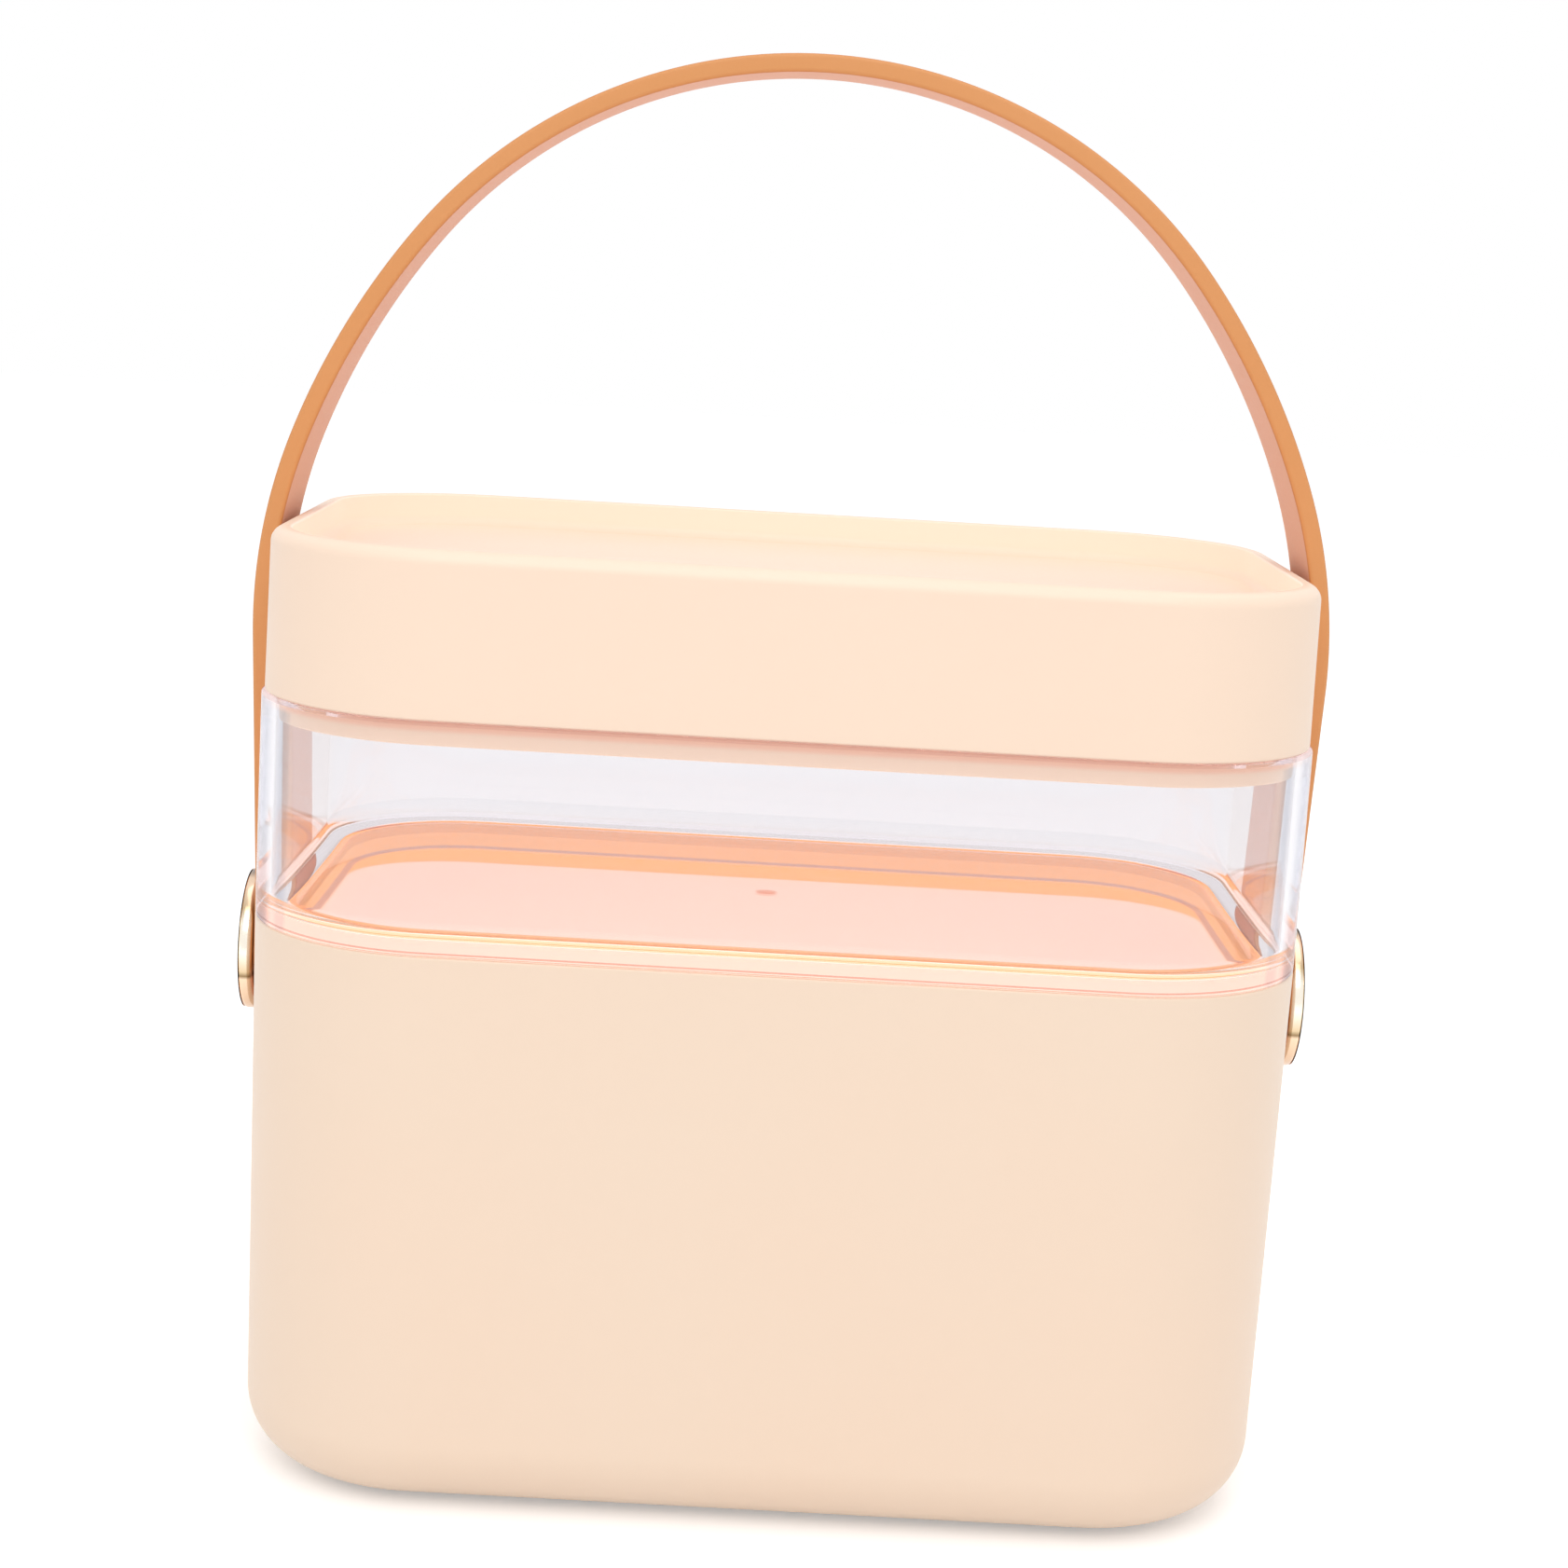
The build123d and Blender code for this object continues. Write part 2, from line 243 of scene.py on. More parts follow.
def start_outline(name, height, inset):
    """Starts a piece as one level face with the outline of the box, drawn in by inset."""
    bpy.ops.object.select_all(action="DESELECT")
    bpy.ops.mesh.primitive_plane_add(size=1)
    piece = bpy.context.object
    piece.name = name
    bpy.ops.object.mode_set(mode="EDIT")
    bpy.ops.transform.resize(value=(box_length - 2 * inset, box_depth - 2 * inset, 1))
    bpy.ops.transform.translate(value=(0, 0, height))
    bpy.ops.mesh.bevel(offset=corner_radius - inset, segments=corner_steps, profile=round_profile,
                       affect="VERTICES")
    return piece


def sink(depth, narrowing=0.0):
    """Pushes the selected level face back into the piece, with walls that draw in."""
    if narrowing:
        bpy.ops.mesh.inset(thickness=narrowing, depth=-depth)
        return
    shape = bmesh.from_edit_mesh(bpy.context.edit_object.data)
    way = next(face for face in shape.faces if face.select).normal.z
    bpy.ops.mesh.extrude_region_move(TRANSFORM_OT_translate={"value": (0, 0, -depth * way)})


def close_and_smooth(piece):
    """Leaves edit mode with clean outward faces that shade smoothly, and flat where they are."""
    bpy.ops.mesh.select_all(action="SELECT")
    bpy.ops.mesh.remove_doubles(threshold=join_gap)
    bpy.ops.mesh.normals_make_consistent(inside=False)
    if bmesh.from_edit_mesh(piece.data).calc_volume(signed=True) < 0:
        bpy.ops.mesh.flip_normals()
    bpy.ops.object.mode_set(mode="OBJECT")
    bpy.ops.object.shade_smooth_by_angle(angle=sharp_angle)
    weights = piece.modifiers.new("weights", "WEIGHTED_NORMAL")
    weights.keep_sharp = True
    bpy.ops.object.modifier_apply(modifier=weights.name)


def lift_outline(height, narrowing):
    """Raises the outline's face to a height, with walls that draw in, and closes it below."""
    bpy.ops.mesh.select_mode(type="FACE")
    bpy.ops.mesh.select_all(action="SELECT")
    bpy.ops.mesh.inset(thickness=max(narrowing, least_narrowing), depth=height)
    choose("edges", lambda edge: edge.is_boundary)
    bpy.ops.mesh.edge_face_add()


def object_place(tree):
    """The place of a point in the piece's own coordinates."""
    return tree.nodes.new("ShaderNodeTexCoord").outputs["Object"]


def noise(tree, place, size, detail):
    """Soft random spots, from 0 to 1, finer as the size number grows."""
    spots = tree.nodes.new("ShaderNodeTexNoise")
    tree.links.new(place, spots.inputs["Vector"])
    feed(tree, spots.inputs["Scale"], size)
    spots.inputs["Detail"].default_value = detail
    return spots.outputs["Fac"]


def blend(tree, factor, first, second):
    """Mixes two colours: the first at factor 0 and the second at 1."""
    mix = tree.nodes.new("ShaderNodeMix")
    mix.data_type = "RGBA"
    tree.links.new(factor, mix.inputs["Factor"])
    feed(tree, mix.inputs["A"], first)
    feed(tree, mix.inputs["B"], second)
    return mix.outputs["Result"]


def make_fine_grain():
    """Fine moulded grain and slow drift of tone, shared by the plastics and the strap."""
    group = bpy.data.node_groups.new("fine_grain", "ShaderNodeTree")
    sockets = group.interface
    for label in ("Grain Size", "Drift Size", "Drift"):
        sockets.new_socket(label, in_out="INPUT", socket_type="NodeSocketFloat")
    for label in ("Base", "Tone"):
        sockets.new_socket(label, in_out="INPUT", socket_type="NodeSocketColor")
    sockets.new_socket("Color", in_out="OUTPUT", socket_type="NodeSocketColor")
    sockets.new_socket("Grain", in_out="OUTPUT", socket_type="NodeSocketFloat")
    enter = group.nodes.new("NodeGroupInput").outputs
    leave = group.nodes.new("NodeGroupOutput").inputs
    place = object_place(group)
    drift = noise(group, place, enter["Drift Size"], drift_detail)
    amount = spread(group, drift, drift_low, drift_high, 0.0, enter["Drift"])
    feed(group, leave["Color"], blend(group, amount, enter["Base"], enter["Tone"]))
    feed(group, leave["Grain"], noise(group, place, enter["Grain Size"], grain_detail))
    return group


fine_grain = make_fine_grain()


def grained(tree, base, tone, drift, grain_size=900.0, drift_size=14.0):
    """The shared grain, on a base colour that drifts towards a tone."""
    surface = tree.nodes.new("ShaderNodeGroup")
    surface.node_tree = fine_grain
    for label, value in (("Base", base), ("Tone", tone), ("Drift", drift),
                         ("Grain Size", grain_size), ("Drift Size", drift_size)):
        feed(tree, surface.inputs[label], value)
    return surface.outputs


def grained_shader(tree, shader, surface, grain_depth, grain_strength, rough_low, rough_high):
    """Gives a shader the colour of a grained surface, and lets the grain break up its gloss."""
    gloss = spread(tree, surface["Grain"], grain_low, grain_high, rough_low, rough_high)
    relief = tree.nodes.new("ShaderNodeBump")
    relief.inputs["Distance"].default_value = grain_depth
    relief.inputs["Strength"].default_value = grain_strength
    tree.links.new(surface["Grain"], relief.inputs["Height"])
    tree.links.new(surface["Color"], shader.inputs["Base Color"])
    tree.links.new(gloss, shader.inputs["Roughness"])
    tree.links.new(relief.outputs["Normal"], shader.inputs["Normal"])


def grained_finish(name, colour, tone, drift, grain_size, grain_depth, rough_low, rough_high):
    """A material with the shared grain on one colour."""
    finish, tree, shader = start_finish(name)
    surface = grained(tree, colour, tone, drift, grain_size)
    grained_shader(tree, shader, surface, grain_depth, plastic_relief, rough_low, rough_high)
    return finish


cream_plastic = grained_finish("cream_plastic", cream_colour, cream_tone, drift=0.5,
                               grain_size=1100.0, grain_depth=0.02 * mm,
                               rough_low=0.36, rough_high=0.46)

bin_piece = start_outline("bin_moulding", seam_height, 0)
bpy.ops.mesh.flip_normals()
lift_outline(bin_height, bin_narrowing)
round_loop(bin_base, bin_narrowing, bin_edge_radius, steps=18)
choose_face(seam_height)
bpy.ops.mesh.inset(thickness=bin_mouth_wall)
choose_face(seam_height, bin_mouth_wall)
sink(bin_step)
bpy.ops.mesh.inset(thickness=bin_wall - bin_mouth_wall)
sink(bin_height - bin_floor - bin_step, bin_narrowing)
round_loop(bin_base + bin_floor, bin_wall + bin_narrowing, bin_edge_radius - bin_floor, steps=12)
round_loop(seam_height, 0, bin_rim_round, steps=4)
round_loop(seam_height, bin_mouth_wall, bin_rim_round / 2, steps=2)
close_and_smooth(bin_piece)
bin_piece.data.materials.append(cream_plastic)
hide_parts("bin")
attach(bin_piece, "bin_body")

# Shallow tray: a thin cream moulding that hangs by its flange in the mouth of the bin. Seen
# through the clear tray, its floor is painted pink and its edge orange, both with a painted glow
# for light that soaks through its thin walls, and a thin dark painted shadow of the clear tray's
# rib runs round it.
flange_top = seam_height - 0.2 * mm
flange_inset = 2.5 * mm
flange_thickness = 1.8 * mm
pan_outer_inset = 3.65 * mm
pan_inner_inset = 5.45 * mm
pan_depth = 5.2 * mm
pan_floor = 1.8 * mm
pan_floor_radius = 3.4 * mm
flange_edge_round = 0.3 * mm
tray_cream = (0.94, 0.75, 0.6, 1)
tray_rough = 0.4
tray_drift = 0.1
deck_colour = (0.93, 0.8, 0.745, 1)
black = (0, 0, 0, 1)
# Painted glow: the tray's pink floor and orange edge also give out light, though the tray is no
# lamp.
painted_tray_glow = 0.8
painted_glow_colour = (0.94, 0.45, 0.13, 1)
glow_middle_y = -9.3 * mm
glow_reach_x = 91.0 * mm
glow_reach_y = 50.3 * mm
glow_corner_x = 27.0 * mm
glow_corner_y = 22.0 * mm
glow_soft = 0.03
glow_top = flange_top - 0.25 * mm
glow_full = flange_top - 0.5 * mm
# Painted shadow of the clear tray's rib: a thin dark line on the tray round its floor.
rib_shadow_colour = (0.5, 0.24, 0.18, 1)
rib_shadow_inset = 8.2 * mm
rib_shadow_half = 0.5 * mm
over_any_height = 10.0
through_plastic = 0.5


def vector_step(tree, operation, first, second=None):
    """The result of one operation, such as SUBTRACT, on one or two vectors."""
    step = tree.nodes.new("ShaderNodeVectorMath")
    step.operation = operation
    feed(tree, step.inputs[0], first)
    if second is not None:
        feed(tree, step.inputs[1], second)
    return step.outputs["Value" if operation == "LENGTH" else "Vector"]


def axes_of(tree, place):
    """The X, Y and Z of a place, each by its name."""
    split = tree.nodes.new("ShaderNodeSeparateXYZ")
    tree.links.new(place, split.inputs["Vector"])
    return split.outputs


def past_rounded_corner(tree, place, middle, free, corner):
    """Distance out from a rounded rectangle seen from above, as a share of its corner's reach."""
    off_middle = vector_step(tree, "ABSOLUTE", vector_step(tree, "SUBTRACT", place, (*middle, 0)))
    past = vector_step(tree, "SUBTRACT", off_middle, (*free, over_any_height))
    past = vector_step(tree, "MAXIMUM", past, (0, 0, 0))
    return vector_step(tree, "LENGTH", vector_step(tree, "DIVIDE", past, (*corner, 1)))


def box_reach(tree, place):
    """The reach of a point in the outline of the box, which is 1 on the widest outline."""
    free = (box_length / 2 - corner_radius, box_depth / 2 - corner_radius)
    return past_rounded_corner(tree, place, (0, 0), free, (corner_radius, corner_radius))


def reach_at(inset):
    """The reach of the outline that is drawn in by inset."""
    return 1 - inset / corner_radius


def between(tree, value, low, high):
    """0 at the low value and 1 at the high one, with a soft run between them."""
    run = spread(tree, value, low, high)
    run.node.interpolation_type = "SMOOTHSTEP"
    return run


tray_plastic, tray_tree, tray_shader = start_finish("tray_plastic")
tray_place = object_place(tray_tree)
glow_free = (glow_reach_x - glow_corner_x, glow_reach_y - glow_corner_y)
glow_reach = past_rounded_corner(tray_tree, tray_place, (0, glow_middle_y), glow_free,
                                 (glow_corner_x, glow_corner_y))
edge_mask = combined(tray_tree, "MULTIPLY",
                     between(tray_tree, glow_reach, 1 - glow_soft, 1 + glow_soft),
                     between(tray_tree, axes_of(tray_tree, tray_place)["Z"], glow_top, glow_full))
tray_reach = box_reach(tray_tree, tray_place)
rib_shadow_mask = combined(tray_tree, "MULTIPLY",
                     between(tray_tree, tray_reach, reach_at(rib_shadow_inset + 2 * rib_shadow_half),
                             reach_at(rib_shadow_inset + rib_shadow_half)),
                     between(tray_tree, tray_reach, reach_at(rib_shadow_inset - 2 * rib_shadow_half),
                             reach_at(rib_shadow_inset - rib_shadow_half)))
painted_tray_light_and_shade = blend(tray_tree, rib_shadow_mask, blend(tray_tree, edge_mask, deck_colour, painted_glow_colour),
                  rib_shadow_colour)
tray_rays = tray_tree.nodes.new("ShaderNodeLightPath").outputs
# Camera rays see the tray plain cream. Rays that come through the clear tray, or bounce first, see
# the painted colours, the painted glow and the painted rib shadow.
seen_through = combined(tray_tree, "GREATER_THAN", tray_rays["Ray Depth"], through_plastic)
tray_seen = blend(tray_tree, seen_through, tray_cream, painted_tray_light_and_shade)
feed(tray_tree, tray_shader.inputs["Base Color"],
     grained(tray_tree, tray_seen, tray_seen, tray_drift)["Color"])
feed(tray_tree, tray_shader.inputs["Emission Color"],
     blend(tray_tree, seen_through, black, painted_tray_light_and_shade))
tray_shader.inputs["Emission Strength"].default_value = painted_tray_glow
tray_shader.inputs["Roughness"].default_value = tray_rough

tray_piece = start_outline("shallow_tray_moulding", flange_top, flange_inset)
bpy.ops.mesh.flip_normals()
lift_outline(flange_thickness, 0)
choose_face(flange_top - flange_thickness, up=False)
bpy.ops.mesh.inset(thickness=pan_outer_inset - flange_inset)
choose_face(flange_top - flange_thickness, pan_outer_inset, up=False)
sink(flange_thickness - pan_depth - pan_floor)
round_loop(flange_top - pan_depth - pan_floor, pan_outer_inset, pan_floor_radius + pan_floor / 2,
           steps=8)
choose_face(flange_top)
bpy.ops.mesh.inset(thickness=pan_inner_inset - flange_inset)
choose_face(flange_top, pan_inner_inset)
sink(pan_depth)
round_loop(flange_top - pan_depth, pan_inner_inset, pan_floor_radius, steps=10)
round_loop(flange_top, flange_inset, flange_edge_round, steps=3)
round_loop(flange_top, pan_inner_inset, flange_edge_round, steps=3)
close_and_smooth(tray_piece)
tray_piece.data.materials.append(tray_plastic)
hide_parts("inner_tray")
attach(tray_piece, "inner_tray_body")

# Clear tray: one thick-walled moulding in clear acrylic, polished inside and out, that
# stands on the rim of the bin. Its corners carry painted reflections in dark and light streaks and
# a painted grey shade on what shows through them. The curve round its floor carries a painted
# orange reflection, strongest in front, and the rim under the lid a painted shade. In each pair of
# values a mask is 0 at the first and 1 at the second.
clear_height = 43.2 * mm
clear_top = seam_height + clear_height
clear_wall = 2.8 * mm
clear_floor = 2.2 * mm
clear_foot_gap = 0.03 * mm
clear_foot = seam_height + clear_foot_gap
clear_floor_radius = 4.0 * mm
clear_rim_round = 0.7 * mm
clear_foot_round = 0.4 * mm
rib_inset = 5.85 * mm
rib_width = 1.8 * mm
rib_depth = 2.2 * mm
clear_bend = 1.49
clear_rough = 0.03
wave_size = 22.0
wave_detail = 1.0
ray_inside = 1.5
ray_at_floor = 2.5
ray_deepest = 3.5
clear_tint = (0.848, 0.84, 0.86, 1)
clear_pale = (0.868, 0.86, 0.88, 1)
clear_shadow = (0.94, 0.9, 0.88, 1)
# Painted reflections: dark and light streaks across the corners of the clear walls.
corner_reflection_dark = (0.58, 0.6, 0.67, 1)
corner_reflection_light = (0.78, 0.79, 0.85, 1)
corner_reflection_edge = (0.68, 0.63, 0.76, 1)
painted_corner_reflections = ((0.08, clear_pale), (0.16, corner_reflection_dark), (0.3, corner_reflection_dark), (0.4, corner_reflection_light),
                (0.62, corner_reflection_light), (0.7, corner_reflection_dark), (0.78, corner_reflection_light),
                (0.93, corner_reflection_light), (1.0, corner_reflection_edge))
corner_lines_x = (90.0 * mm, 100.0 * mm)
corner_start_y = (28.0 * mm, 42.0 * mm)
# Painted shade: a grey tint on what is seen through the corners.
corner_pass = (0.66, 0.69, 0.79, 1)
corner_pass_x = (94.0 * mm, 96.5 * mm)
corner_pass_share = 0.55
# Painted shade under the lid's edge: a mauve tint near the top of the clear rim, and on what is
# seen through it.
rim_shade_tint = (0.88, 0.72, 0.7, 1)
rim_shade_tint_z = (clear_top - 2.2 * mm, clear_top - 1.2 * mm)
rim_shade_pass = (0.86, 0.72, 0.73, 1)
rim_shade_pass_z = (clear_top - 0.8 * mm, clear_top - 0.6 * mm)
rim_shade_pass_share = 0.8
gate_tint = (0.8, 0.5, 0.42, 1)
gate_middle = (-2.0 * mm, 0)
gate_radius = (2.6 * mm, 1.6 * mm)
foot_pass = (0.88, 0.76, 0.73, 1)
foot_pass_z = (clear_foot + 0.04 * mm, clear_foot + 0.02 * mm)
# Painted reflection: the orange of the shallow tray's edge, painted into the curve round the clear
# floor, strongest in front.
foot_painted_orange = (0.86, 0.52, 0.26, 1)
foot_pale = (0.9, 0.87, 0.92, 1)
foot_front_y = (-34.0 * mm, -54.0 * mm)
foot_inner_inset = (9.0 * mm, 8.0 * mm)
foot_outer_inset = (3.0 * mm, 3.4 * mm)
foot_curve_z = (clear_foot + clear_floor + 1.6 * mm, clear_foot + clear_floor + 0.8 * mm)
skin_inset = (1.6 * mm, 2.0 * mm)
skin_low_z = (clear_foot + 1.0 * mm, clear_foot + 1.4 * mm)
skin_high_z = (seam_height + clear_floor + clear_floor_radius + 0.5 * mm,
               seam_height + clear_floor + clear_floor_radius)
skin_share = 0.8


def colour_bands(tree, value, bands):
    """Colours along a value. Each band is a place from 0 to 1 and the colour there."""
    ramp = tree.nodes.new("ShaderNodeValToRGB")
    tree.links.new(value, ramp.inputs["Fac"])
    stops = ramp.color_ramp.elements
    stops[0].position, stops[0].color = bands[0]
    stops[1].position, stops[1].color = bands[-1]
    for place, colour in bands[1:-1]:
        stops.new(place).color = colour
    return ramp.outputs["Color"]


def mixed_shaders(tree, share, first, second):
    """Mixes two shaders: the first at share 0 and the second at 1."""
    mix = tree.nodes.new("ShaderNodeMixShader")
    tree.links.new(share, mix.inputs["Fac"])
    tree.links.new(first, mix.inputs[1])
    tree.links.new(second, mix.inputs[2])
    return mix.outputs["Shader"]


def inset_band(tree, reach, insets):
    """0 at the first inset from the widest outline, and 1 at the second."""
    return between(tree, reach, reach_at(insets[0]), reach_at(insets[1]))


clear_acrylic, clear_tree, clear_shader = start_finish("clear_acrylic")
clear_place = object_place(clear_tree)
clear_axes = axes_of(clear_tree, clear_place)
clear_off = axes_of(clear_tree, vector_step(clear_tree, "ABSOLUTE", clear_place))
clear_reach = box_reach(clear_tree, clear_place)
clear_wave = noise(clear_tree, clear_place, wave_size, wave_detail)

# How far the ray has come: still in the first wall, inside the tray, or past most surfaces.
clear_rays = clear_tree.nodes.new("ShaderNodeLightPath").outputs
clear_depth = clear_rays["Ray Depth"]
in_wall = combined(clear_tree, "LESS_THAN", clear_depth, ray_inside)
in_tray = combined(clear_tree, "GREATER_THAN", clear_depth, ray_inside)
first_meeting = combined(clear_tree, "MULTIPLY", in_tray,
                         combined(clear_tree, "LESS_THAN", clear_depth, ray_at_floor))
straight_on = combined(clear_tree, "MAXIMUM", clear_rays["Is Shadow Ray"],
                       clear_rays["Is Diffuse Ray"],
                       combined(clear_tree, "GREATER_THAN", clear_depth, ray_deepest))

# Where the point is: at a corner, on the rim, on the foot, or in the curve round the floor.
near_corner = combined(clear_tree, "MULTIPLY", in_wall,
                       between(clear_tree, clear_off["Y"], *corner_start_y))
corner_face = combined(clear_tree, "MULTIPLY", near_corner,
                       between(clear_tree, clear_off["X"], *corner_pass_x))
rim_face = between(clear_tree, clear_axes["Z"], *rim_shade_pass_z)
foot_face = combined(clear_tree, "MULTIPLY", in_wall,
                     between(clear_tree, clear_axes["Z"], *foot_pass_z))
gate_reach = past_rounded_corner(clear_tree, clear_place, gate_middle, (0, 0), (1, 1))
foot_curve = combined(clear_tree, "MULTIPLY", in_tray,
                      inset_band(clear_tree, clear_reach, foot_inner_inset),
                      inset_band(clear_tree, clear_reach, foot_outer_inset),
                      between(clear_tree, clear_axes["Z"], *foot_curve_z))
floor_skin = combined(clear_tree, "MULTIPLY", first_meeting,
                      inset_band(clear_tree, clear_reach, skin_inset),
                      between(clear_tree, clear_axes["Z"], *skin_low_z),
                      between(clear_tree, clear_axes["Z"], *skin_high_z))

corner_run = spread(clear_tree, clear_off["X"], *corner_lines_x)
clear_colour = blend(clear_tree, clear_wave, clear_tint, clear_pale)
clear_colour = blend(clear_tree, near_corner, clear_colour,
                     colour_bands(clear_tree, corner_run, painted_corner_reflections))
clear_colour = blend(clear_tree, between(clear_tree, clear_axes["Z"], *rim_shade_tint_z), clear_colour,
                     rim_shade_tint)
clear_colour = blend(clear_tree, between(clear_tree, gate_reach, *gate_radius), clear_colour,
                     gate_tint)
painted_foot_colour = blend(clear_tree, between(clear_tree, clear_axes["Y"], *foot_front_y), foot_pale,
                    foot_painted_orange)
clear_colour = blend(clear_tree, foot_curve, clear_colour, painted_foot_colour)
pass_colour = blend(clear_tree, foot_face, clear_shadow, foot_pass)
pass_colour = blend(clear_tree, corner_face, pass_colour, corner_pass)
pass_colour = blend(clear_tree, rim_face, pass_colour, rim_shade_pass)
pass_share = combined(clear_tree, "MAXIMUM", straight_on, foot_face,
                      combined(clear_tree, "MULTIPLY", corner_face, corner_pass_share),
                      combined(clear_tree, "MULTIPLY", rim_face, rim_shade_pass_share))

clear_shader.inputs["Transmission Weight"].default_value = 1.0
clear_shader.inputs["IOR"].default_value = clear_bend
feed(clear_tree, clear_shader.inputs["Base Color"], clear_colour)
feed(clear_tree, clear_shader.inputs["Roughness"],
     spread(clear_tree, clear_wave, 0, 1, 0.0, clear_rough))
clear_dull = clear_tree.nodes.new("ShaderNodeBsdfRefraction")
clear_dull.inputs["IOR"].default_value = clear_bend
clear_dull.inputs["Roughness"].default_value = 0.0
feed(clear_tree, clear_dull.inputs["Color"], clear_colour)
clear_pass = clear_tree.nodes.new("ShaderNodeBsdfTransparent")
feed(clear_tree, clear_pass.inputs["Color"], pass_colour)
clear_solid = mixed_shaders(clear_tree, combined(clear_tree, "MULTIPLY", floor_skin, skin_share),
                            clear_shader.outputs["BSDF"], clear_dull.outputs["BSDF"])
feed(clear_tree, clear_tree.nodes["Material Output"].inputs["Surface"],
     mixed_shaders(clear_tree, pass_share, clear_solid, clear_pass.outputs["BSDF"]))

clear_piece = start_outline("clear_tray_moulding", clear_foot, 0)
lift_outline(clear_height - clear_foot_gap, 0)
choose_face(clear_top)
bpy.ops.mesh.inset(thickness=clear_wall)
choose_face(clear_top, clear_wall)
sink(clear_height - clear_floor)
round_loop(seam_height + clear_floor, clear_wall, clear_floor_radius, steps=12)
choose_face(clear_foot, up=False)
bpy.ops.mesh.inset(thickness=rib_inset)
choose_face(clear_foot, rib_inset, up=False)
bpy.ops.mesh.inset(thickness=rib_width)
choose("faces", lambda face: face.normal.z < -facing and len(face.verts) == quad_points
       and abs(face.calc_center_median().z - clear_foot) < level_slack
       and rib_inset < inset_of(face.calc_center_median()) < rib_inset + rib_width)
sink(-rib_depth - clear_foot_gap)
round_loop(clear_foot, 0, clear_foot_round, steps=3)
round_loop(clear_top, 0, clear_rim_round, steps=5)
round_loop(clear_top, clear_wall, clear_rim_round, steps=5)
close_and_smooth(clear_piece)
clear_piece.data.materials.append(clear_acrylic)
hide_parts("clear_tray")
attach(clear_piece, "clear_tray_body")

# Lid: a satin cream cap, set back a little from the clear tray, that narrows upwards to a softly
# rounded rim. Its top is a dish that holds small things, moulded in the same piece. The dish's
# floor and lower walls give out a painted glow that brightens the recess.
lid_height = 30.8 * mm
lid_top = clear_top + lid_height
lid_setback = 0.6 * mm
lid_narrowing = 0.349 * mm
lid_wall = 2.4 * mm
lid_rim_width = 4.2 * mm
lid_rim_radius = 2.8 * mm
lid_rim_inner_radius = 0.5 * mm
lid_edge_round = 0.5 * mm
dish_depth = 6.6 * mm
dish_floor = 2.2 * mm
dish_corner_radius = 2.0 * mm
lid_inside = lid_height - dish_depth - dish_floor
lid_inside_narrowing = lid_inside * lid_narrowing / lid_height
lid_dish_inset = lid_setback + lid_rim_width
# Painted light: the lid's cream is a lighter copy of the bin's, since the lid stands nearer the
# light from above.
lid_lit_colour = (0.985, 0.775, 0.615, 1)
lid_lit_tone = (0.99, 0.76, 0.6, 1)
# Painted glow that lightens the floor and lower walls of the dish.
painted_dish_glow = (1.0, 0.83, 0.76, 1)
painted_dish_glow_strength = 0.22
dish_edge = reach_at(lid_dish_inset)
dish_edge_soft = 0.01
painted_dish_glow_z = (lid_top - dish_depth - 1.0 * mm, lid_top - dish_depth + 2.5 * mm)

lid_plastic = grained_finish("lid_plastic", lid_lit_colour, lid_lit_tone, drift=0.5, grain_size=1100.0,
                             grain_depth=0.02 * mm, rough_low=0.36, rough_high=0.46)
lid_tree = lid_plastic.node_tree
lid_shader = lid_tree.nodes["Principled BSDF"]
lid_place = object_place(lid_tree)
painted_dish_glow_mask = combined(lid_tree, "MULTIPLY",
                     between(lid_tree, box_reach(lid_tree, lid_place),
                             dish_edge + dish_edge_soft, dish_edge),
                     between(lid_tree, axes_of(lid_tree, lid_place)["Z"], *painted_dish_glow_z))
feed(lid_tree, lid_shader.inputs["Emission Color"], blend(lid_tree, painted_dish_glow_mask, black, painted_dish_glow))
lid_shader.inputs["Emission Strength"].default_value = painted_dish_glow_strength

lid_piece = start_outline("lid_moulding", clear_top, lid_setback)
lift_outline(lid_height, lid_narrowing)
choose_face(lid_top)
bpy.ops.mesh.inset(thickness=lid_rim_width - lid_narrowing)
choose_face(lid_top, lid_dish_inset)
sink(dish_depth)
round_loop(lid_top - dish_depth, lid_dish_inset, dish_corner_radius, steps=10)
round_loop(lid_top, lid_setback + lid_narrowing, lid_rim_radius, steps=10)
round_loop(lid_top, lid_dish_inset, lid_rim_inner_radius, steps=4)
choose_face(clear_top, up=False)
bpy.ops.mesh.inset(thickness=lid_wall)
choose_face(clear_top, lid_setback + lid_wall, up=False)
sink(lid_inside, lid_inside_narrowing)
round_loop(clear_top + lid_inside, lid_setback + lid_wall + lid_inside_narrowing,
           dish_corner_radius, steps=6)
round_loop(clear_top, lid_setback, lid_edge_round, steps=4)
close_and_smooth(lid_piece)
lid_piece.data.materials.append(lid_plastic)
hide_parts("lid_shell")
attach(lid_piece, "lid_body")

# Lid liner: a cream pan fixed under the lid. Its edge hangs down inside the clear tray as a plug,
# and shows through the clear wall as a band under the lid, lightened by a painted glow.
liner_inset = 3.4 * mm
liner_wall = 1.8 * mm
liner_plate = 1.8 * mm
plug_bottom = clear_top - 4.7 * mm
liner_top = clear_top + 6.2 * mm
liner_corner_radius = 3.0 * mm
plug_round = 0.5 * mm
liner_colour = (0.97, 0.78, 0.62, 1)
liner_tone = (0.98, 0.77, 0.6, 1)
